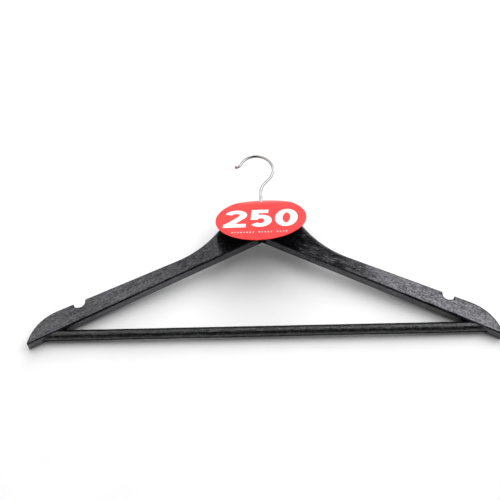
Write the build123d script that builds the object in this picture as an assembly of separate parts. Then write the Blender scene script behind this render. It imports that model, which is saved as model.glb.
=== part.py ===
from build123d import *
import os
from math import asin, cos, degrees, radians, sin, sqrt, tan

# Wooden clothes hanger, hanging upright. Millimetres, +X to the right, +Y to the back, +Z up.
# The origin is on the hook's turning axis, at the inside of its crown, where a rail bears.

# Hook wire
WIRE_R = 1.5
HOOK_R = 17.5  # centreline radius of the round part
HOOK_OFFSET = 4.1  # the round part's centre stands this far left of the turning axis
SHANK_LEAN = 40.7  # degrees that the neck of the hook leans to the right
SHANK_BEND_R = 18.0
MOUTH_ANGLE = 158.0  # where the round part ends, degrees round from +X
MOUTH_BEND_R = 3.0
MOUTH_BEND = 48.0  # degrees that the wire turns back outward at the mouth
MOUTH_LIP = 2.6
BALL_R = 2.0
COLLAR_R = 2.3
COLLAR_H = 1.2
COLLAR_EDGE_R = 0.4
HEAD_R = 3.0
HEAD_H = 1.8
HEAD_EDGE_R = 0.9

# Wooden yoke: two arms cut from flat board
BOARD = 12.0
ROUNDOVER = 1.8
NECK_TOP_Z = -66.5
NECK_CORNER_R = 26.0
APEX_Z = -100.7  # inner corner of the underside, on the centre line
UNDERSIDE_SLOPE = tan(radians(26.9))
EDGE_ANGLE = radians(24.9)
EDGE_Z = -86.6  # height at which the straight upper edges would meet
FLARE_START_X = 83.0
FLARE_R = 100.0
END_START_X = 195.9
END_R = 45.85
TIP_X = 222.0
TIP_R = 1.6
NOTCH_X = 170.3
NOTCH_WALL = 2.2
NOTCH_DEPTH = 8.4
NOTCH_R = 5.6
NOTCH_FLOOR = 3.4
NOTCH_RISE_X = 1.7

# Comb joint in the neck, and its bore
FINGERS = 5
FINGER_L = 11.0
GLUE = 0.05
BORE_R = WIRE_R + 0.06
COUNTERBORE_R = 4.2
SEAT_Z = -95.6  # the washer's seat in the counterbore
WASHER_R = 4.0
WASHER_T = 0.8
PLAY = 0.05

# Trouser bar and its brads
BAR_R = 5.2
BAR_Z = -200.9
BAR_HALF = 211.0
BAR_CHAMFER = 0.6
BRAD_X = 204.0
BRAD_Z = -200.2
BRAD_R = 0.8
BRAD_L = 9.0
BRAD_HEAD_R = 1.4
BRAD_HEAD_T = 0.6
BRAD_SINK = 0.2

# Price ticket: a round disc of stiff sheet that leans forward, with a slot for the wire
TICKET_T = 0.6
TICKET_Z = -54.75  # the slot's centre, on the turning axis
DISC_R = 44.6
DISC_X = 2.1  # the disc's centre stands this far right of its slot
DISC_TOP = 4.4  # sheet left above the slot's centre
DISC_LEAN = radians(30.4)  # lean of the flat part from upright
TOP_LEAN = radians(44.0)  # lean of the sheet at the slot, where it is bent back
TOP_STRAIGHT = 3.0
TOP_BEND_L = 6.0
TICKET_DIP = 2.1  # degrees that its right side hangs low
TICKET_YAW = 4.6  # degrees that its right side stands forward
SLOT_W = 4.4
SLOT_L = 5.8

# Cutting bodies and stock are this much larger than what they cut
OVERCUT = 1.0


def hook_centre():
    """Centre of the round part: the crown's inside crosses the turning axis at the origin."""
    inner = HOOK_R - WIRE_R
    return Vector(-HOOK_OFFSET, 0, -sqrt(inner**2 - HOOK_OFFSET**2))


def on_circle(centre, radius, angle):
    """Point of a circle in the XZ plane, angle in degrees from +X towards +Z."""
    return centre + Vector(radius * cos(radians(angle)), 0, radius * sin(radians(angle)))


def arc(centre, radius, start, end):
    """Arc in the XZ plane between two angles in degrees."""
    points = [on_circle(centre, radius, a) for a in (start, (start + end) / 2, end)]
    return ThreePointArc(*points)


def hook_path():
    """Centreline: shank, bend to the right, round part, and lip turned out at the mouth."""
    centre = hook_centre()
    joins = on_circle(centre, HOOK_R, -SHANK_LEAN)
    lean = radians(SHANK_LEAN)
    corner_z = joins.Z - (joins.X / sin(lean)) * cos(lean)
    reach = SHANK_BEND_R * tan(lean / 2)
    foot = Vector(0, 0, SEAT_Z - WASHER_T - PLAY - HEAD_H / 2)
    bend_foot = Vector(0, 0, corner_z - reach)
    bend_centre = bend_foot + Vector(SHANK_BEND_R, 0, 0)
    bend_end = on_circle(bend_centre, SHANK_BEND_R, 180 - SHANK_LEAN)
    mouth = on_circle(centre, HOOK_R, MOUTH_ANGLE)
    lip_centre = on_circle(mouth, MOUTH_BEND_R, MOUTH_ANGLE)
    lip_start = MOUTH_ANGLE + 180
    lip_end = on_circle(lip_centre, MOUTH_BEND_R, lip_start - MOUTH_BEND)
    tip = on_circle(lip_end, MOUTH_LIP, MOUTH_ANGLE + 90 - MOUTH_BEND)
    edges = [
        Line(foot, bend_foot),
        arc(bend_centre, SHANK_BEND_R, 180, 180 - SHANK_LEAN),
        Line(bend_end, joins),
        arc(centre, HOOK_R, -SHANK_LEAN, MOUTH_ANGLE),
        arc(lip_centre, MOUTH_BEND_R, lip_start, lip_start - MOUTH_BEND),
        Line(lip_end, tip),
    ]
    return Wire([e.edge() for e in edges]), foot, tip


def swivel_hook():
    """Bent wire with a ball at the tip, a collar over the neck and a peened head below."""
    path, foot, tip = hook_path()
    section = Plane(origin=foot, z_dir=(0, 0, 1)) * Circle(WIRE_R)
    wire = sweep(section, path=path)
    ball = Pos(tip) * Sphere(BALL_R)
    collar = Pos(0, 0, NECK_TOP_Z + PLAY + COLLAR_H / 2) * Cylinder(COLLAR_R, COLLAR_H)
    collar = fillet(collar.edges(), COLLAR_EDGE_R)
    head = Pos(foot) * Cylinder(HEAD_R, HEAD_H)
    head = fillet(head.edges().sort_by(Axis.Z)[:1], HEAD_EDGE_R)
    return wire + ball + collar + head


def hook_washer():
    """Flat washer between the peened head and the wood."""
    middle = Pos(0, 0, SEAT_Z - WASHER_T / 2)
    return middle * (Cylinder(WASHER_R, WASHER_T) - Cylinder(BORE_R, WASHER_T))


def upper_edge_z(x):
    return EDGE_Z - x * tan(EDGE_ANGLE)


def underside_z(x):
    return APEX_Z - x * UNDERSIDE_SLOPE


def neck_profile():
    """Crest of the neck and its hollow flare, as edges from the centre line outward."""
    normal = Vector(sin(EDGE_ANGLE), 0, cos(EDGE_ANGLE))
    start = Vector(FLARE_START_X, 0, upper_edge_z(FLARE_START_X))
    hollow = start + normal * FLARE_R
    # The corner's arc and the hollow flare meet on the line between their centres
    apart = FLARE_R + NECK_CORNER_R
    rise = hollow.Z - (NECK_TOP_Z - NECK_CORNER_R)
    corner = Vector(hollow.X - sqrt(apart**2 - rise**2), 0, NECK_TOP_Z - NECK_CORNER_R)
    turn = degrees(asin(rise / apart))
    crest = Vector(corner.X, 0, NECK_TOP_Z)
    edges = [
        Line((0, 0, NECK_TOP_Z), crest),
        arc(corner, NECK_CORNER_R, 90, turn),
        arc(hollow, FLARE_R, 180 + turn, 270 - degrees(EDGE_ANGLE)),
    ]
    return edges, start


def notch_profile():
    """Strap notch: a short wall, a quarter round, a flat floor and a steep rise."""
    lip = Vector(NOTCH_X, 0, upper_edge_z(NOTCH_X))
    wall = lip - Vector(0, 0, NOTCH_WALL)
    floor = Vector(NOTCH_X + NOTCH_R, 0, lip.Z - NOTCH_DEPTH)
    across = NOTCH_R * cos(radians(45))
    down = (NOTCH_DEPTH - NOTCH_WALL) * sin(radians(45))
    halfway = Vector(floor.X - across, 0, wall.Z - down)
    floor_end = floor + Vector(NOTCH_FLOOR, 0, 0)
    rise_x = floor_end.X + NOTCH_RISE_X
    outer = Vector(rise_x, 0, upper_edge_z(rise_x))
    edges = [
        Line(lip, wall),
        ThreePointArc(wall, halfway, floor),
        Line(floor, floor_end),
        Line(floor_end, outer),
    ]
    return edges, lip, outer


def arm_outline():
    """Right half of the yoke's face, closed along the centre line."""
    neck, flare = neck_profile()
    notch, lip, outer = notch_profile()
    start = Vector(END_START_X, 0, upper_edge_z(END_START_X))
    normal = Vector(sin(EDGE_ANGLE), 0, cos(EDGE_ANGLE))
    centre = start - normal * END_R
    tip_angle = degrees(asin((underside_z(TIP_X) - centre.Z) / END_R))
    tip = on_circle(centre, END_R, tip_angle)
    apex = Vector(0, 0, APEX_Z)
    edges = neck + [Line(flare, lip)] + notch
    edges += [
        Line(outer, start),
        arc(centre, END_R, 90 - degrees(EDGE_ANGLE), tip_angle),
        Line(tip, apex),
        Line(apex, (0, 0, NECK_TOP_Z)),
    ]
    return Wire([e.edge() for e in edges])


def yoke_blank():
    """Both arms in one piece, before the comb joint parts them."""
    half = extrude(Face(arm_outline()), amount=BOARD / 2, dir=(0, 1, 0), both=True)
    tips = half.edges().filter_by(Axis.Y).sort_by(Axis.X)[-1:]
    half = fillet(tips, TIP_R)
    blank = half + mirror(half, about=Plane.YZ)
    faces = blank.faces().filter_by(Axis.Y).sort_by(Axis.Y)
    rims = faces[0].edges() + faces[-1].edges()
    return fillet(rims, ROUNDOVER)


def bar_sockets():
    """Blind holes for the bar's ends."""
    return Pos(0, 0, BAR_Z) * Rot(0, 90, 0) * Cylinder(BAR_R + PLAY, 2 * (BAR_HALF + PLAY))


def neck_bore():
    """Bore for the shank, counterbored from below for the washer and the head."""
    top = NECK_TOP_Z + OVERCUT
    bottom = APEX_Z - COUNTERBORE_R
    bore = Pos(0, 0, (top + bottom) / 2) * Cylinder(BORE_R, top - bottom)
    wide = Pos(0, 0, (SEAT_Z + bottom) / 2) * Cylinder(COUNTERBORE_R, SEAT_Z - bottom)
    return bore + wide


def glue_line():
    """Thin zigzag wall where the two arms' fingers meet."""
    pitch = (NECK_TOP_Z - APEX_Z) / FINGERS
    depth = BOARD + 2 * OVERCUT
    wall = Part()
    for i in range(FINGERS):
        side = FINGER_L / 2 * (1 if i % 2 else -1)
        low = APEX_Z + i * pitch - (FINGER_L if i == 0 else GLUE / 2)
        high = APEX_Z + (i + 1) * pitch + (OVERCUT if i == FINGERS - 1 else GLUE / 2)
        wall += Pos(side, 0, (low + high) / 2) * Box(GLUE, depth, high - low)
        if i:
            wall += Pos(0, 0, APEX_Z + i * pitch) * Box(FINGER_L + GLUE, depth, GLUE)
    return wall


def arms():
    """The two arms, left first."""
    blank = yoke_blank() - bar_sockets() - neck_bore() - brads(PLAY)
    halves = (blank - glue_line()).solids().sort_by(Axis.X)
    return halves[0], halves[-1]


def trouser_bar():
    """Dowel across the foot, drilled for the brads."""
    bar = Rot(0, 90, 0) * Cylinder(BAR_R, 2 * BAR_HALF)
    bar = chamfer(bar.edges().filter_by(GeomType.CIRCLE), BAR_CHAMFER)
    return Pos(0, 0, BAR_Z) * bar - brads(PLAY)


def brads(extra=0.0):
    """One headed brad at each end of the bar, driven in from the back. Extra widens their holes."""
    top = BOARD / 2 - BRAD_SINK
    pins = []
    for side in (-1, 1):
        shank = Pos(side * BRAD_X, top - BRAD_L / 2, BRAD_Z) * Rot(90, 0, 0)
        shank = shank * Cylinder(BRAD_R + extra, BRAD_L + 2 * extra)
        reach = BRAD_HEAD_T + (BRAD_SINK * 2 if extra else 0)
        back = top + (BRAD_SINK * 2 if extra else 0)
        head = Pos(side * BRAD_X, back - reach / 2, BRAD_Z) * Rot(90, 0, 0)
        head = head * Cylinder(BRAD_HEAD_R + extra, reach)
        pins.append(shank + head)
    return Compound(pins)


def ticket_profile():
    """Side view of the sheet's middle: straight at the slot, a bend, then the flat part."""
    steep = Vector(-sin(TOP_LEAN), -cos(TOP_LEAN))
    flat = Vector(-sin(DISC_LEAN), -cos(DISC_LEAN))
    turn = TOP_LEAN - DISC_LEAN
    bend = steep * TOP_STRAIGHT
    curve = JernArc(bend, steep, TOP_BEND_L / turn, degrees(turn))
    top = steep * -(DISC_TOP + OVERCUT)
    foot = curve @ 1 + flat * 2 * DISC_R
    path = Wire([Line(top, bend), curve.edge(), Line(curve @ 1, foot)])
    return Plane.YZ * Pos(0, TICKET_Z) * path


def price_ticket():
    """Round ticket on the shank, leaning forward, one side dipped and forward of the other."""
    slot = Vector(0, 0, TICKET_Z)
    path = ticket_profile()
    section = Plane(origin=path @ 0, x_dir=(1, 0, 0), z_dir=path % 0)
    width = 2 * (DISC_R + abs(DISC_X) + OVERCUT)
    sheet = sweep(section * Rectangle(width, TICKET_T), path=path)
    down = path % 1
    reach = slot + down * (DISC_R - DISC_TOP)
    facing = Plane(origin=reach, x_dir=(1, 0, 0), z_dir=down.cross(Vector(1, 0, 0)))
    disc = facing * Pos(DISC_X, 0) * Circle(DISC_R)
    sheet = sheet & extrude(disc, amount=BOARD, both=True)
    along = path % 0
    across = Plane(origin=slot, x_dir=along, z_dir=along.cross(Vector(1, 0, 0)))
    punch = across * SlotOverall(SLOT_L, SLOT_W)
    sheet = sheet - extrude(punch, amount=TICKET_T, both=True)
    dipped = sheet.rotate(Axis(slot, (0, 1, 0)), TICKET_DIP)
    return dipped.rotate(Axis.Z, -TICKET_YAW)


def main():
    os.makedirs("parts", exist_ok=True)
    left_arm, right_arm = arms()
    parts = {
        "left_arm": left_arm,
        "right_arm": right_arm,
        "trouser_bar": trouser_bar(),
        "bar_brads": brads(),
        "hook_washer": hook_washer(),
        "swivel_hook": swivel_hook(),
        "price_ticket": price_ticket(),
    }
    for name, shape in parts.items():
        export_step(shape, f"parts/{name}.step")


main()
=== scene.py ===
from math import asin, cos, pi, radians, sin, sqrt, tan

import bmesh
import bpy
from mathutils import Matrix, Vector, noise


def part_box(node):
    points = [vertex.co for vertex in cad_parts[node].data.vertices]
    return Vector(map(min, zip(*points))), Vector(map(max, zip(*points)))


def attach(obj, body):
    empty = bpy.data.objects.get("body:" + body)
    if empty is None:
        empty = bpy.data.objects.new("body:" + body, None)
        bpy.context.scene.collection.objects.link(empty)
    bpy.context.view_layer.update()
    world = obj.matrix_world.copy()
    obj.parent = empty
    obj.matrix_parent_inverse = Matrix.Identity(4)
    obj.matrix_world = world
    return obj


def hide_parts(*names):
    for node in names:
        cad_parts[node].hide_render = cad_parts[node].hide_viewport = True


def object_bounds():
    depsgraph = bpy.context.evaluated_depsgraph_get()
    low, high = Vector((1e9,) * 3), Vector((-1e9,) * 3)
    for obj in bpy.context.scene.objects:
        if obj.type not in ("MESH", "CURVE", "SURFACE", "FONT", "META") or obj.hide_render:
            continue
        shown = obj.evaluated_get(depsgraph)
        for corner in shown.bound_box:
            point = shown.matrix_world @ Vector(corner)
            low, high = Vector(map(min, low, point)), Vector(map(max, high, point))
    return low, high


MM = 0.001

# Camera: below and in front, as one looks down on a hanger laid on a table with its hook far away
CAMERA_TILT = radians(59.0)
CAMERA_ROLL = radians(-1.235)
CAMERA_DISTANCE = 0.956
CAMERA_AIM = Vector((-0.0122, 0.0, -0.11167))
CAMERA_LENS = 69.84

# Floor: the hanger's foot just clears it, and it falls away towards the hook
FLOOR_GAP = 0.2 * MM
FLOOR_SLOPE = tan(radians(7.0))
FLOOR_HALF = 3.0

# Wood surface: slope of the grain in each arm, the radius over which edges look rounded and rubbed,
# and how far the dowel's ends are eased and its middle lies below its full size
ARM_SLOPE = radians(25.9)
RUBBED_R = 1.1 * MM
DOWEL_EASE = 0.6 * MM
DOWEL_SUNK = 0.10 * MM

# Wire
WIRE_R = 1.5 * MM
HOOK_R = 17.5 * MM
HOOK_OFFSET = 4.1 * MM
SHANK_LEAN = radians(40.7)
SHANK_BEND_R = 18.0 * MM
MOUTH_ANGLE = radians(158.0)
MOUTH_BEND_R = 3.0 * MM
MOUTH_BEND = radians(48.0)
MOUTH_LIP = 2.6 * MM
BALL_R = 2.0 * MM
COLLAR_R = 2.3 * MM
COLLAR_H = 1.2 * MM
COLLAR_GAP = 0.05 * MM
HEAD_R = 3.0 * MM
HEAD_H = 1.8 * MM
HEAD_ROUND = 0.55 * HEAD_H
NECK_TOP = -66.5 * MM

# Ticket: a round sheet, bent back at its slot; x runs across it, w down its flat part
SLOT_Z = -54.75 * MM
TICKET_T = 0.6 * MM
DISC_R = 44.6 * MM
DISC_X = 2.1 * MM
DISC_TOP = 4.4 * MM
DISC_W = DISC_R - DISC_TOP
DISC_LEAN = radians(30.4)
TOP_LEAN = radians(44.0)
TOP_STRAIGHT = 3.0 * MM
TOP_BEND_L = 6.0 * MM
TICKET_DIP = radians(2.1)
TICKET_YAW = radians(4.6)
SLOT_W = 4.4 * MM
SLOT_L = 5.8 * MM
CARD_EASE = 0.12 * MM

# Print: figures with their feet at FIGURE_W below the disc's centre, and a row of small blocks
INK = 0.05 * MM
STROKE = 7.2 * MM
FIGURE_SIZE = (22.0 * MM, 36.5 * MM)
FIGURE_PITCH = 25.0 * MM
FIGURE_W = 18.5 * MM
BLOCK_W = 29.0 * MM
BLOCK_H = 2.4 * MM
BLOCK_PITCH = 2.9 * MM
BLOCK_WORDS = (8, 5, 4)


def new_mesh(name, points, faces):
    mesh = bpy.data.meshes.new(name)
    mesh.from_pydata([tuple(p) for p in points], [], faces)
    mesh.update()
    piece = bpy.data.objects.new(name, mesh)
    bpy.context.scene.collection.objects.link(piece)
    return piece


def smooth(piece, angle=None):
    piece.data.shade_smooth()
    if angle is not None:
        piece.data.set_sharp_from_angle(angle=angle)


# ---------------------------------------------------------------- materials


class Nodes:
    """Short hand for building one node material."""

    def __init__(self, name):
        self.material = bpy.data.materials.new(name)
        self.material.use_nodes = True
        self.tree = self.material.node_tree
        self.tree.nodes.clear()
        self.out = self.add("ShaderNodeOutputMaterial")

    def add(self, kind, **settings):
        node = self.tree.nodes.new(kind)
        for key, value in settings.items():
            setattr(node, key, value)
        return node

    def link(self, source, target):
        self.tree.links.new(source, target)

    def place(self, scale=(1, 1, 1), turn=(0, 0, 0)):
        """Object coordinates in millimetres, turned and then scaled."""
        coords = self.add("ShaderNodeTexCoord")
        turned = self.add("ShaderNodeMapping")
        turned.inputs["Rotation"].default_value = turn
        scaled = self.add("ShaderNodeMapping")
        scaled.inputs["Scale"].default_value = [1000 * s for s in scale]
        self.link(coords.outputs["Object"], turned.inputs["Vector"])
        self.link(turned.outputs["Vector"], scaled.inputs["Vector"])
        return scaled.outputs["Vector"]

    def noise(self, vector, scale=1.0, detail=4.0, rough=0.55, distort=0.0):
        node = self.add("ShaderNodeTexNoise")
        node.inputs["Scale"].default_value = scale
        node.inputs["Detail"].default_value = detail
        node.inputs["Roughness"].default_value = rough
        node.inputs["Distortion"].default_value = distort
        self.link(vector, node.inputs["Vector"])
        return node.outputs["Fac"]

    def remap(self, value, low, high, to_low=0.0, to_high=1.0):
        node = self.add("ShaderNodeMapRange", interpolation_type="SMOOTHSTEP")
        for key, number in zip(("From Min", "From Max", "To Min", "To Max"), (low, high, to_low, to_high)):
            node.inputs[key].default_value = number
        self.link(value, node.inputs["Value"])
        return node.outputs["Result"]

    def math(self, operation, a, b=None):
        node = self.add("ShaderNodeMath", operation=operation)
        for socket, value in zip(node.inputs, (a, b)):
            if value is None:
                continue
            if isinstance(value, (int, float)):
                socket.default_value = value
            else:
                self.link(value, socket)
        return node.outputs[0]

    def mix(self, factor, a, b):
        node = self.add("ShaderNodeMix", data_type="RGBA")
        for name, value in (("Factor", factor), ("A", a), ("B", b)):
            socket = [s for s in node.inputs if s.name == name and s.enabled][0]
            if isinstance(value, (int, float)):
                socket.default_value = value
            elif isinstance(value, tuple):
                socket.default_value = (*value, 1)
            else:
                self.link(value, socket)
        return [s for s in node.outputs if s.enabled][0]

    def bump(self, height, distance, strength=1.0, under=None):
        node = self.add("ShaderNodeBump")
        node.inputs["Distance"].default_value = distance
        node.inputs["Strength"].default_value = strength
        self.link(height, node.inputs["Height"])
        if under is not None:
            self.link(under, node.inputs["Normal"])
        return node.outputs["Normal"]

    def surface(self, **inputs):
        """Principled surface; an input is a number, a colour or a socket."""
        node = self.add("ShaderNodeBsdfPrincipled")
        for key, value in inputs.items():
            socket = node.inputs[key.replace("_", " ")]
            if isinstance(value, (int, float)):
                socket.default_value = value
            elif isinstance(value, tuple):
                socket.default_value = (*value, 1)
            else:
                self.link(value, socket)
        self.link(node.outputs[0], self.out.inputs["Surface"])
        return self.material


def rubbed_edges(n, rounded, speck):
    """Where an edge has worn: its rounded normal leaves the true one, broken up by a speckle."""
    true = n.add("ShaderNodeNewGeometry").outputs["Normal"]
    match = n.add("ShaderNodeVectorMath", operation="DOT_PRODUCT")
    n.link(rounded, match.inputs[0])
    n.link(true, match.inputs[1])
    edge = n.remap(match.outputs["Value"], 0.80, 0.97, 1.0, 0.0)
    return n.math("MULTIPLY", edge, n.remap(speck, 0.50, 0.64))


def lacquered_wood(name, slope):
    """Black gloss lacquer over open grain that runs along a line sloped in the XZ plane."""
    n = Nodes(name)
    turn = (0, -slope, 0)
    pores = n.noise(n.place((0.16, 1.6, 1.6), turn), 1.0, 3.0, 0.6)
    pores = n.remap(pores, 0.56, 0.70)
    grain = n.noise(n.place((0.03, 0.55, 0.55), turn), 1.0, 6.0, 0.62, 0.4)
    mottle = n.noise(n.place((0.09, 0.22, 0.22), turn), 1.0, 5.0, 0.6)
    broad = n.noise(n.place((0.02, 0.03, 0.03), turn), 1.0, 2.0, 0.5)
    speck = n.noise(n.place((1.1, 1.1, 1.1)), 1.0, 3.0, 0.7)
    tone = n.math("ADD", n.math("MULTIPLY", grain, 0.5), n.math("MULTIPLY", mottle, 0.5))
    paint = n.mix(n.remap(tone, 0.35, 0.68), (0.0015, 0.0015, 0.002), (0.006, 0.006, 0.007))
    paint = n.mix(pores, paint, (0.001, 0.001, 0.001))
    bevel = n.add("ShaderNodeBevel", samples=6)
    bevel.inputs["Radius"].default_value = RUBBED_R
    rounded = bevel.outputs["Normal"]
    rubbed = rubbed_edges(n, rounded, speck)
    paint = n.mix(n.math("MULTIPLY", rubbed, 0.30), paint, (0.09, 0.07, 0.055))
    gloss = n.math("ADD", n.remap(mottle, 0.3, 0.7, 0.10, 0.20), n.remap(broad, 0.3, 0.7, -0.02, 0.04))
    gloss = n.math("ADD", gloss, n.math("MULTIPLY", pores, 0.15))
    gloss = n.math("ADD", gloss, n.math("MULTIPLY", rubbed, 0.20))
    relief = n.bump(n.math("MULTIPLY", pores, -1.0), 0.03 * MM, 1.0, rounded)
    relief = n.bump(grain, 0.05 * MM, 1.0, relief)
    relief = n.bump(mottle, 0.10 * MM, 1.0, relief)
    relief = n.bump(speck, 0.012 * MM, 1.0, relief)
    shine = n.math("ADD", n.remap(tone, 0.36, 0.62, 0.50, 0.95), n.remap(broad, 0.35, 0.65, -0.12, 0.12))
    sparkle = n.noise(n.place((0.55, 0.75, 0.75), turn), 1.0, 2.0, 0.8)
    shine = n.math("ADD", shine, n.remap(sparkle, 0.38, 0.66, -0.28, 0.42))
    return n.surface(
        Base_Color=paint,
        Roughness=gloss,
        Normal=relief,
        Specular_IOR_Level=shine,
        Specular_Tint=(0.93, 0.93, 1.0),
    )


def lacquered_dowel(name):
    """The same black on a coarser turned dowel, its highlight broken up by raised grain."""
    n = Nodes(name)
    streaks = n.noise(n.place((0.06, 1.0, 1.0)), 1.0, 6.0, 0.65, 0.5)
    lumps = n.noise(n.place((0.20, 0.5, 0.5)), 1.0, 5.0, 0.7)
    speck = n.noise(n.place((0.7, 1.3, 1.3)), 1.0, 3.0, 0.7)
    paint = n.mix(n.remap(streaks, 0.35, 0.7), (0.001, 0.001, 0.001), (0.005, 0.005, 0.006))
    gloss = n.math("ADD", n.remap(lumps, 0.3, 0.7, 0.12, 0.30), n.remap(speck, 0.45, 0.7, 0.0, 0.12))
    relief = n.bump(streaks, 0.34 * MM)
    relief = n.bump(lumps, 0.34 * MM, 1.0, relief)
    relief = n.bump(speck, 0.06 * MM, 1.0, relief)
    # The uneven lacquer shines less where it turns away from the eye
    facing = n.add("ShaderNodeLayerWeight").outputs["Facing"]
    shine = n.math("ADD", n.remap(facing, 0.20, 0.55, 0.62, 0.05), n.remap(lumps, 0.4, 0.65, -0.05, 0.45))
    shine = n.math("MULTIPLY", shine, n.remap(facing, 0.20, 0.60, 1.0, 0.15))
    return n.surface(Base_Color=paint, Roughness=gloss, Normal=relief, Specular_IOR_Level=shine)


def plated_wire(name):
    """Nickel-plated wire: fine drawing lines, faint clouding and dull rubbed spots."""
    n = Nodes(name)
    lines = n.noise(n.place((3.0, 3.0, 0.25)), 1.0, 2.0, 0.5)
    cloud = n.noise(n.place((0.12, 0.12, 0.12)), 1.0, 4.0, 0.6)
    spots = n.remap(n.noise(n.place((0.9, 0.9, 0.9)), 1.0, 3.0, 0.6), 0.58, 0.72)
    tone = n.mix(n.remap(cloud, 0.3, 0.7), (0.44, 0.44, 0.44), (0.56, 0.55, 0.53))
    tone = n.mix(n.math("MULTIPLY", spots, 0.5), tone, (0.36, 0.35, 0.34))
    gloss = n.math("ADD", n.remap(cloud, 0.3, 0.7, 0.16, 0.26), n.math("MULTIPLY", spots, 0.15))
    relief = n.bump(lines, 0.01 * MM)
    return n.surface(Base_Color=tone, Metallic=1.0, Roughness=gloss, Normal=relief)


def plain_steel(name):
    """Brads and washer: dull steel with scratches and a little tarnish."""
    n = Nodes(name)
    scratches = n.noise(n.place((0.8, 6.0, 0.8)), 1.0, 3.0, 0.6)
    tarnish = n.noise(n.place((0.5, 0.5, 0.5)), 1.0, 4.0, 0.6)
    tone = n.mix(n.remap(tarnish, 0.4, 0.65), (0.50, 0.50, 0.51), (0.30, 0.27, 0.24))
    gloss = n.remap(tarnish, 0.3, 0.7, 0.3, 0.5)
    relief = n.bump(scratches, 0.02 * MM)
    return n.surface(Base_Color=tone, Metallic=1.0, Roughness=gloss, Normal=relief)


def ticket_card(name):
    """Card printed red on its front: faint fibre, a soft clear film, and a near-black back, painted shade
    that the lacquer under the ticket mirrors as a dark patch.
    """
    n = Nodes(name)
    fibre = n.noise(n.place((1.6, 1.6, 1.6)), 1.0, 5.0, 0.7)
    film = n.noise(n.place((0.05, 0.05, 0.05)), 1.0, 3.0, 0.5)
    red = n.mix(n.remap(fibre, 0.35, 0.65), (0.82, 0.012, 0.012), (0.90, 0.020, 0.020))
    red = n.mix(n.remap(film, 0.35, 0.65, 0.0, 0.25), red, (0.94, 0.030, 0.028))
    # Near-black back: painted shade, so the lacquer under the ticket reflects it as a dark patch
    painted_shade_back = n.mix(n.remap(fibre, 0.35, 0.65), (0.016, 0.015, 0.015), (0.030, 0.029, 0.028))
    parts = n.add("ShaderNodeSeparateXYZ")
    n.link(n.add("ShaderNodeTexCoord").outputs["Normal"], parts.inputs[0])
    paint = n.mix(n.math("GREATER_THAN", parts.outputs["Y"], 0.05), red, painted_shade_back)
    relief = n.bump(fibre, 0.012 * MM)
    relief = n.bump(film, 0.25 * MM, 1.0, relief)
    return n.surface(
        Base_Color=paint,
        Roughness=n.remap(fibre, 0.3, 0.7, 0.40, 0.50),
        Normal=relief,
        Coat_Weight=0.15,
        Coat_Roughness=0.30,
    )


def ticket_ink(name):
    """White print on the card."""
    n = Nodes(name)
    fibre = n.noise(n.place((1.6, 1.6, 1.6)), 1.0, 5.0, 0.7)
    white = n.mix(n.remap(fibre, 0.35, 0.65), (0.86, 0.86, 0.85), (0.95, 0.95, 0.94))
    return n.surface(
        Base_Color=white,
        Roughness=n.remap(fibre, 0.3, 0.7, 0.40, 0.5),
        Normal=n.bump(fibre, 0.01 * MM),
        Coat_Weight=0.4,
        Coat_Roughness=0.22,
    )


def one_sided_floor(name):
    """Pale floor that vanishes for a camera on its far side, so that the back can be looked at."""
    n = Nodes(name)
    diffuse = n.add("ShaderNodeBsdfDiffuse")
    grain = n.noise(n.place((0.02, 0.02, 0.02)), 1.0, 3.0, 0.5)
    pale = n.mix(n.remap(grain, 0.3, 0.7), (0.87, 0.87, 0.87), (0.90, 0.90, 0.90))
    n.link(pale, diffuse.inputs["Color"])
    clear = n.add("ShaderNodeBsdfTransparent")
    normal = n.add("ShaderNodeVectorTransform", convert_from="WORLD", convert_to="CAMERA")
    normal.vector_type = "NORMAL"
    normal.inputs[0].default_value = (0, -1, 0)
    seen = n.add("ShaderNodeTexCoord").outputs["Camera"]
    facing = n.add("ShaderNodeVectorMath", operation="DOT_PRODUCT")
    n.link(normal.outputs[0], facing.inputs[0])
    n.link(seen, facing.inputs[1])
    behind = n.math("GREATER_THAN", facing.outputs["Value"], 0.0)
    choose = n.add("ShaderNodeMixShader")
    n.link(behind, choose.inputs[0])
    n.link(diffuse.outputs[0], choose.inputs[1])
    n.link(clear.outputs[0], choose.inputs[2])
    n.link(choose.outputs[0], n.out.inputs["Surface"])
    return n.material


# ------------------------------------------------------------------- wood


def dowel_bar(node):
    """Dowel with slightly uneven diameter, raised grain and eased ends."""
    low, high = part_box(node)
    radius = (high.z - low.z) / 2
    centre_z = (high.z + low.z) / 2
    half = (high.x - low.x) / 2
    around = 96
    along = 800
    points, faces = [], []
    for i in range(along + 1):
        x = -half + 2 * half * i / along
        inset = max(0.0, DOWEL_EASE - (half - abs(x)))
        for j in range(around):
            a = 2 * pi * j / around
            y, z = cos(a), sin(a)
            waves = noise.fractal(Vector((x / MM / 30, 2.2 * y, 2.2 * z)), 1.0, 2.0, 3)
            ridges = noise.noise(Vector((x / MM / 7, 7 * y, 7 * z)))
            r = radius - inset - DOWEL_SUNK + (0.07 * waves + 0.05 * ridges) * MM
            points.append((x, r * y, centre_z + r * z))
    for i in range(along):
        for j in range(around):
            k = (j + 1) % around
            faces.append((i * around + j, i * around + k, (i + 1) * around + k, (i + 1) * around + j))
    for start, order in ((0, -1), (along * around, 1)):
        ring = [start + j for j in range(around)]
        middle = len(points)
        points.append((points[start][0], 0, centre_z))
        for j in range(around):
            pair = (ring[j], ring[(j + 1) % around])
            faces.append((*(pair if order > 0 else pair[::-1]), middle))
    piece = new_mesh(node + "_dowel", points, faces)
    smooth(piece, radians(50))
    piece.data.materials.append(lacquered_dowel("dowel_lacquer"))
    return piece


# ------------------------------------------------------------------- wire


def circle_point(centre, radius, angle):
    return centre + Vector((radius * cos(angle), 0, radius * sin(angle)))


def arc_points(centre, radius, start, end, step):
    count = max(2, int(abs(end - start) * radius / step))
    return [circle_point(centre, radius, start + (end - start) * i / count) for i in range(count + 1)]


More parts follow.
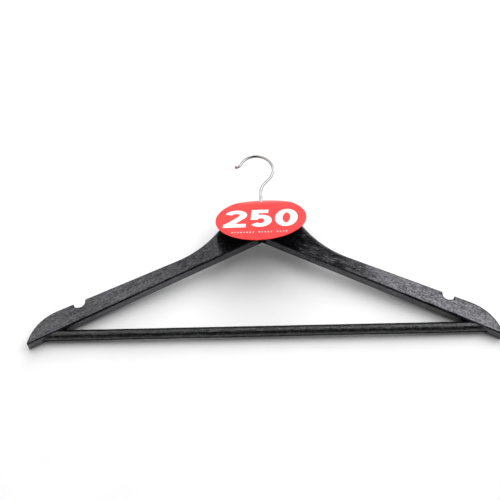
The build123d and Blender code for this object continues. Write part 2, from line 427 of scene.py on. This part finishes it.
def line_points(start, end, step):
    count = max(1, int((end - start).length / step))
    return [start.lerp(end, i / count) for i in range(count + 1)]


def wire_path(step):
    """Centreline from the peened head, up the shank, round the crown and out to the tip."""
    inner = HOOK_R - WIRE_R
    centre = Vector((-HOOK_OFFSET, 0, -sqrt(inner**2 - HOOK_OFFSET**2)))
    joins = circle_point(centre, HOOK_R, -SHANK_LEAN)
    corner_z = joins.z - joins.x / tan(SHANK_LEAN)
    reach = SHANK_BEND_R * tan(SHANK_LEAN / 2)
    foot = Vector((0, 0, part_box("swivel_hook")[0].z))
    bend_foot = Vector((0, 0, corner_z - reach))
    bend_centre = bend_foot + Vector((SHANK_BEND_R, 0, 0))
    mouth = circle_point(centre, HOOK_R, MOUTH_ANGLE)
    lip_centre = circle_point(mouth, MOUTH_BEND_R, MOUTH_ANGLE)
    lip_start = MOUTH_ANGLE + pi
    lip_end = circle_point(lip_centre, MOUTH_BEND_R, lip_start - MOUTH_BEND)
    tip = circle_point(lip_end, MOUTH_LIP + BALL_R, MOUTH_ANGLE + pi / 2 - MOUTH_BEND)
    path = line_points(foot, bend_foot, step)
    path += arc_points(bend_centre, SHANK_BEND_R, pi, pi - SHANK_LEAN, step)
    path += line_points(path[-1], joins, step)
    path += arc_points(centre, HOOK_R, -SHANK_LEAN, MOUTH_ANGLE, step)
    path += arc_points(lip_centre, MOUTH_BEND_R, lip_start, lip_start - MOUTH_BEND, step)
    path += line_points(lip_end, tip, step / 2)
    clean = [path[0]]
    for point in path[1:]:
        if (point - clean[-1]).length > step * 0.2:
            clean.append(point)
    return clean


def wire_radius(s, total, foot_z):
    """Radius along the wire: peened head, shank, collar over the neck, and the ball at the tip."""
    head = 0.0
    if s < HEAD_H:
        edge = min(1.0, s / HEAD_ROUND)
        head = HEAD_R * sqrt(max(0.0, 1 - (1 - edge) ** 2)) if s > 0 else 0.0
        return max(head, 0.02 * MM)
    z = foot_z + s
    collar_mid = NECK_TOP + COLLAR_GAP + COLLAR_H / 2
    offset = abs(z - collar_mid) / (COLLAR_H / 2)
    collar = WIRE_R + (COLLAR_R - WIRE_R) * sqrt(max(0.0, 1 - offset**4)) if offset < 1 else WIRE_R
    left = total - s
    if left < 2 * BALL_R:
        ball = sqrt(max(0.0, BALL_R**2 - (left - BALL_R) ** 2))
        if left < BALL_R:
            return max(ball, 0.02 * MM)
        return max(ball, WIRE_R)
    return collar


def hook_wire(node):
    """The hook as one swept wire."""
    step = 0.35 * MM
    path = wire_path(step)
    around = 36
    lengths = [0.0]
    for a, b in zip(path, path[1:]):
        lengths.append(lengths[-1] + (b - a).length)
    total = lengths[-1]
    # Extra rings where the radius changes quickly
    stations = set(round(s, 7) for s in lengths)
    foot_z = path[0].z
    collar_mid = NECK_TOP + COLLAR_GAP + COLLAR_H / 2 - foot_z
    for i in range(13):
        stations.add(round(HEAD_ROUND * (1 - cos(pi / 2 * i / 12)), 7))
        stations.add(round(collar_mid - COLLAR_H / 2 * cos(pi * i / 12), 7))
        stations.add(round(total - BALL_R * (1 - cos(pi / 2 * i / 12)), 7))
    stations |= {round(HEAD_H - 1e-6, 7), round(HEAD_H, 7)}
    rings, k = [], 0
    for s in sorted(stations):
        while k < len(lengths) - 2 and lengths[k + 1] < s:
            k += 1
        span = lengths[k + 1] - lengths[k]
        share = (s - lengths[k]) / span
        point = path[k].lerp(path[k + 1], share)
        before = path[max(0, k - 1)]
        after = path[min(len(path) - 1, k + 2)]
        along = (after - before).normalized()
        rings.append((point, along, wire_radius(s, total, foot_z)))
    points, faces = [], []
    across = Vector((0, 1, 0))
    for point, along, radius in rings:
        side = along.cross(across)
        for j in range(around):
            a = 2 * pi * j / around
            points.append(point + radius * (cos(a) * across + sin(a) * side))
    for i in range(len(rings) - 1):
        for j in range(around):
            k = (j + 1) % around
            faces.append((i * around + j, i * around + k, (i + 1) * around + k, (i + 1) * around + j))
    faces.append(tuple(reversed(range(around))))
    last = (len(rings) - 1) * around
    faces.append(tuple(last + j for j in range(around)))
    piece = new_mesh("hook_wire", points, faces)
    fix_normals(piece)
    smooth(piece, radians(60))
    piece.data.materials.append(plated_wire("nickel_wire"))
    return piece


def fix_normals(piece):
    mesh = bmesh.new()
    mesh.from_mesh(piece.data)
    bmesh.ops.remove_doubles(mesh, verts=mesh.verts, dist=1e-7)
    bmesh.ops.recalc_face_normals(mesh, faces=mesh.faces)
    mesh.to_mesh(piece.data)
    mesh.free()


# ----------------------------------------------------------------- ticket


def sheet_point(x, s, out):
    """Point of the bent sheet: x across, s along the sheet downward from the slot, out from its middle."""
    bend_r = TOP_BEND_L / (TOP_LEAN - DISC_LEAN)
    if s < TOP_STRAIGHT:
        angle = TOP_LEAN
        y, z = -s * sin(angle), -s * cos(angle)
    else:
        bent = min(s - TOP_STRAIGHT, TOP_BEND_L)
        angle = TOP_LEAN - bent / bend_r
        y = -TOP_STRAIGHT * sin(TOP_LEAN) - bend_r * (cos(angle) - cos(TOP_LEAN))
        z = -TOP_STRAIGHT * cos(TOP_LEAN) - bend_r * (sin(TOP_LEAN) - sin(angle))
        over = s - TOP_STRAIGHT - bent
        y -= over * sin(angle)
        z -= over * cos(angle)
    y -= out * cos(angle)
    z += out * sin(angle)
    c, t = cos(TICKET_DIP), sin(TICKET_DIP)
    x, z = x * c + z * t, z * c - x * t
    c, t = cos(TICKET_YAW), sin(TICKET_YAW)
    return Vector((x * c + y * t, y * c - x * t, SLOT_Z + z))


def along_sheet(w):
    """Distance along the sheet of a point w down from the slot, w measured along the flat part."""
    turn = TOP_LEAN - DISC_LEAN
    bend_r = TOP_BEND_L / turn
    bend_w = TOP_STRAIGHT * cos(turn)
    flat_w = bend_w + bend_r * sin(turn)
    if w <= bend_w:
        return w / cos(turn)
    if w >= flat_w:
        return TOP_STRAIGHT + TOP_BEND_L + w - flat_w
    return TOP_STRAIGHT + bend_r * (turn - asin(sin(turn) - (w - bend_w) / bend_r))


def disc_point(x, w, out):
    """Point of the ticket at x right and w down of the disc's centre."""
    return sheet_point(DISC_X + x, along_sheet(DISC_W + w), out)


def round_sheet(node):
    """The ticket's card: rings of quads from the slot's edge out to the disc's edge."""
    around = 240
    rings = 70
    half = TICKET_T / 2
    flat = (SLOT_L - SLOT_W) / 2

    def ends(turn, inset):
        """Sheet positions at one turn, on the slot's edge and on the disc's edge."""
        side, up = sin(turn), cos(turn)
        slot_r = SLOT_W / 2 + inset
        slot_s = -slot_r * up - (flat if up > 0 else -flat)
        disc_r = DISC_R - inset
        return (slot_r * side, slot_s), (DISC_X + disc_r * side, along_sheet(DISC_W - disc_r * up))

    thin = half - CARD_EASE
    layers = ((half, CARD_EASE, rings), (thin, 0.0, 1), (-thin, 0.0, 1), (-half, CARD_EASE, rings))
    points, index, faces = [], {}, []
    for layer, (out, inset, steps) in enumerate(layers):
        for j in range(around):
            (x0, s0), (x1, s1) = ends(2 * pi * j / around, inset)
            for i in range(steps + 1):
                share = i / steps
                index[layer, i, j] = len(points)
                points.append(sheet_point(x0 + (x1 - x0) * share, s0 + (s1 - s0) * share, out))
    for j in range(around):
        k = (j + 1) % around
        for layer in (0, 3):
            for i in range(rings):
                ring = ((i, j), (i, k), (i + 1, k), (i + 1, j))
                faces.append(tuple(index[layer, a, b] for a, b in ring))
        for outer, inner in ((0, 0), (rings, 1)):
            ladder = ((0, outer), (1, inner), (2, inner), (3, outer))
            for (la, ia), (lb, ib) in zip(ladder, ladder[1:]):
                faces.append((index[la, ia, j], index[la, ia, k], index[lb, ib, k], index[lb, ib, j]))
    piece = new_mesh("ticket_card", points, faces)
    fix_normals(piece)
    smooth(piece, radians(50))
    piece.data.materials.append(ticket_card("red_card"))
    return piece


def ribbon(line, width, lift, closed):
    """Print stroke: a thin solid ribbon along a line of (x, w) points, its corners mitred.

    Strokes that cross are lifted by different amounts, so that no two faces coincide.
    """
    count = len(line)
    cells = 6
    points, faces = [], []
    face_out = TICKET_T / 2
    for i, here in enumerate(line):
        back = line[i - 1] if i or closed else here
        ahead = line[(i + 1) % count] if i < count - 1 or closed else here
        d1 = Vector((here[0] - back[0], here[1] - back[1]))
        d2 = Vector((ahead[0] - here[0], ahead[1] - here[1]))
        d1 = d1.normalized() if d1.length > 0 else d2.normalized()
        d2 = d2.normalized() if d2.length > 0 else d1
        n1, n2 = Vector((-d1.y, d1.x)), Vector((-d2.y, d2.x))
        mitre = (n1 + n2).normalized()
        reach = width / 2 / max(0.6, mitre.dot(n1))
        for out in (face_out - INK / 2, face_out + INK + lift):
            for c in range(cells + 1):
                shift = reach * (2 * c / cells - 1)
                points.append(disc_point(here[0] + mitre.x * shift, here[1] + mitre.y * shift, out))
    row = 2 * (cells + 1)
    loops = count if closed else count - 1
    for i in range(loops):
        a, b = i * row, ((i + 1) % count) * row
        for level in (0, cells + 1):
            for c in range(cells):
                faces.append((a + level + c, a + level + c + 1, b + level + c + 1, b + level + c))
        for c in (0, cells):
            faces.append((a + c, b + c, b + cells + 1 + c, a + cells + 1 + c))
    if not closed:
        for a in (0, (count - 1) * row):
            for c in range(cells):
                faces.append((a + c, a + c + 1, a + cells + 2 + c, a + cells + 1 + c))
    return points, faces


def stroke_arc(cx, cy, rx, ry, start, end, count=28):
    turns = [start + (end - start) * i / count for i in range(count + 1)]
    return [(cx + rx * cos(t), cy + ry * sin(t)) for t in turns]


def stroke_line(start, end, count=16):
    shares = [i / count for i in range(count + 1)]
    return [(start[0] + (end[0] - start[0]) * k, start[1] + (end[1] - start[1]) * k) for k in shares]


def figure_two(w, h, stroke):
    """Centrelines of a 2, w wide and h tall, y up from its foot; each with whether it is closed."""
    r = w / 2
    top = stroke_arc(0, h - r, r, r, radians(165), radians(-38))
    foot = stroke_line(top[-1], (-r, 0))
    base = stroke_line((-r - stroke / 2, 0), (r + stroke / 2, 0))
    return (top + foot[1:], False), (base, False)


def figure_five(w, h, stroke):
    """Centrelines of a 5."""
    r = w / 2
    bowl_r = h * 0.31
    stem_x = -r * 0.85
    bar = stroke_line((stem_x - stroke / 2, h), (r * 0.9, h))
    stem = stroke_line((stem_x, h), (stem_x, h * 0.40), 8)
    bowl = stroke_arc(0, bowl_r, r, bowl_r, radians(150), radians(-142), 36)
    return (bar, False), (stem, False), (bowl, False)


def figure_nought(w, h, stroke):
    """Centreline of a 0; it needs no allowance for the stroke."""
    return ((stroke_arc(0, h / 2, w / 2, h / 2, 0, 2 * pi * (1 - 1 / 56), 55), True),)


def ticket_print():
    """Plain price figures, and a row of small blocks in place of any small print."""
    points, faces = [], []

    def add(line, width, lift=0.0, closed=False):
        more_points, more_faces = ribbon(line, width, lift, closed)
        start = len(points)
        points.extend(more_points)
        faces.extend(tuple(start + i for i in face) for face in more_faces)

    width, height = (size - STROKE for size in FIGURE_SIZE)
    baseline = FIGURE_W - STROKE / 2
    for place, figure in ((-FIGURE_PITCH, figure_two), (0.0, figure_five), (FIGURE_PITCH, figure_nought)):
        for level, (line, closed) in enumerate(figure(width, height, STROKE)):
            add([(place + x, baseline - y) for x, y in line], STROKE, level * INK / 2, closed)
    row_length = BLOCK_PITCH * (sum(BLOCK_WORDS) + len(BLOCK_WORDS) - 1)
    x = (BLOCK_PITCH - row_length) / 2
    top, foot = BLOCK_W - BLOCK_H / 2, BLOCK_W + BLOCK_H / 2
    for letters in BLOCK_WORDS:
        for i in range(letters):
            block = (0.8 + 0.2 * cos(2.4 * i)) * MM
            add(stroke_line((x, top), (x, foot), 3), block)
            x += BLOCK_PITCH
        x += BLOCK_PITCH
    piece = new_mesh("ticket_print", points, faces)
    fix_normals(piece)
    smooth(piece, radians(40))
    piece.data.materials.append(ticket_ink("white_ink"))
    return piece


# ------------------------------------------------------------------ stage


def camera():
    data = bpy.data.cameras.new("camera")
    data.lens = CAMERA_LENS
    data.sensor_width = 36
    data.clip_start = 0.01
    piece = bpy.data.objects.new("camera", data)
    bpy.context.scene.collection.objects.link(piece)
    forward = Vector((0, sin(CAMERA_TILT), cos(CAMERA_TILT)))
    flat_up = Vector((0, -cos(CAMERA_TILT), sin(CAMERA_TILT)))
    right = Vector((cos(CAMERA_ROLL), 0, 0)) + flat_up * sin(CAMERA_ROLL)
    up = flat_up * cos(CAMERA_ROLL) - Vector((sin(CAMERA_ROLL), 0, 0))
    turn = Matrix((right, up, -forward)).transposed()
    piece.matrix_world = Matrix.Translation(CAMERA_AIM - forward * CAMERA_DISTANCE) @ turn.to_4x4()
    bpy.context.scene.camera = piece


def panel(name, centre, size, radiance, aim=CAMERA_AIM):
    """Rectangular light facing a point."""
    data = bpy.data.lights.new(name, "AREA")
    data.shape = "RECTANGLE"
    data.size, data.size_y = size
    data.energy = radiance * pi * size[0] * size[1]
    piece = bpy.data.objects.new(name, data)
    bpy.context.scene.collection.objects.link(piece)
    piece.location = centre
    away = Vector(centre) - aim
    piece.rotation_euler = away.to_track_quat("Z", "Y").to_euler()
    return piece


def surround():
    """White to the camera; a grey room to soft light, and one that is darkest in front to reflections."""
    world = bpy.data.worlds.new("surround")
    world.use_nodes = True
    bpy.context.scene.world = world
    tree = world.node_tree
    tree.nodes.clear()
    out = tree.nodes.new("ShaderNodeOutputWorld")
    seen = tree.nodes.new("ShaderNodeBackground")
    seen.inputs["Color"].default_value = (0.98, 0.98, 0.98, 1)
    coords = tree.nodes.new("ShaderNodeTexCoord")
    parts = tree.nodes.new("ShaderNodeSeparateXYZ")
    tree.links.new(coords.outputs["Generated"], parts.inputs[0])
    path = tree.nodes.new("ShaderNodeLightPath")

    def graded(axis, numbers):
        ramp = tree.nodes.new("ShaderNodeMapRange")
        ramp.interpolation_type = "SMOOTHSTEP"
        for key, number in zip(("From Min", "From Max", "To Min", "To Max"), numbers):
            ramp.inputs[key].default_value = number
        tree.links.new(parts.outputs[axis], ramp.inputs["Value"])
        return ramp.outputs["Result"]

    def room(*grades):
        strength = grades[0]
        for grade in grades[1:]:
            product = tree.nodes.new("ShaderNodeMath")
            product.operation = "MULTIPLY"
            tree.links.new(strength, product.inputs[0])
            tree.links.new(grade, product.inputs[1])
            strength = product.outputs[0]
        shade = tree.nodes.new("ShaderNodeBackground")
        tree.links.new(strength, shade.inputs["Strength"])
        return shade

    def choose(ray, off, on):
        mix = tree.nodes.new("ShaderNodeMixShader")
        tree.links.new(path.outputs[ray], mix.inputs[0])
        tree.links.new(off.outputs[0], mix.inputs[1])
        tree.links.new(on.outputs[0], mix.inputs[2])
        return mix

    soft = room(graded("Z", (-0.7, 0.8, 0.35, 0.85)))
    front = graded("Y", (-0.95, -0.25, 0.08, 0.75))
    mirrored = room(front, graded("Z", (-0.75, 0.1, 0.03, 1.0)), graded("Z", (0.78, 0.95, 1.0, 0.75)))
    result = choose("Is Camera Ray", choose("Is Glossy Ray", soft, mirrored), seen)
    tree.links.new(result.outputs[0], out.inputs["Surface"])


def studio():
    """Pale floor behind the hanger, and soft panels in front, above and behind."""
    low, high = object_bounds()

    def floor_y(z):
        return high.y + FLOOR_GAP + (z - low.z) * FLOOR_SLOPE

    sides = ((-1, -1), (1, -1), (1, 1), (-1, 1))
    corners = [(FLOOR_HALF * x, floor_y(FLOOR_HALF * z), FLOOR_HALF * z) for x, z in sides]
    floor = new_mesh("floor", corners, [(0, 1, 2, 3)])
    floor.data.materials.append(one_sided_floor("pale_floor"))
    panel("left_panel", (-0.48, -1.20, 0.30), (0.80, 1.5), 1.7)
    panel("right_panel", (0.68, -1.15, 0.30), (0.78, 1.5), 2.7)
    panel("right_spot", (0.39, -1.10, 0.45), (0.24, 0.7), 1.8)
    top = panel("top_panel", (0.1, -0.75, 1.35), (0.9, 0.6), 4.0)
    top.visible_glossy = False
    panel("back_panel", (0.3, 1.3, 0.7), (1.2, 0.9), 5.0)
    surround()
    bpy.context.scene.view_settings.view_transform = "Standard"


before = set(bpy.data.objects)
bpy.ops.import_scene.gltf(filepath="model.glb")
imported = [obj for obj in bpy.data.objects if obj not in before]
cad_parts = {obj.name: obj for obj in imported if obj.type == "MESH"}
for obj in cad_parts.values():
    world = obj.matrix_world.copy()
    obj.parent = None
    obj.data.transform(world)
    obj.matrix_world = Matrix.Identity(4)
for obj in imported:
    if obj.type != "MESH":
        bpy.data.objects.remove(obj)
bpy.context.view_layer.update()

for node, side in (("left_arm", -1), ("right_arm", 1)):
    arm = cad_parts[node]
    arm.data.materials.clear()
    arm.data.materials.append(lacquered_wood(node + "_lacquer", side * ARM_SLOPE))

bar = dowel_bar("trouser_bar")
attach(bar, "yoke")
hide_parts("trouser_bar")

wire = hook_wire("swivel_hook")
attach(wire, "hook")
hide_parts("swivel_hook")

card = round_sheet("price_ticket")
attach(card, "ticket")
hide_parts("price_ticket")

figures = ticket_print()
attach(figures, "ticket")

steel = plain_steel("plain_steel")
for node in ("bar_brads", "hook_washer"):
    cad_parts[node].data.materials.clear()
    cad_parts[node].data.materials.append(steel)

studio()
camera()
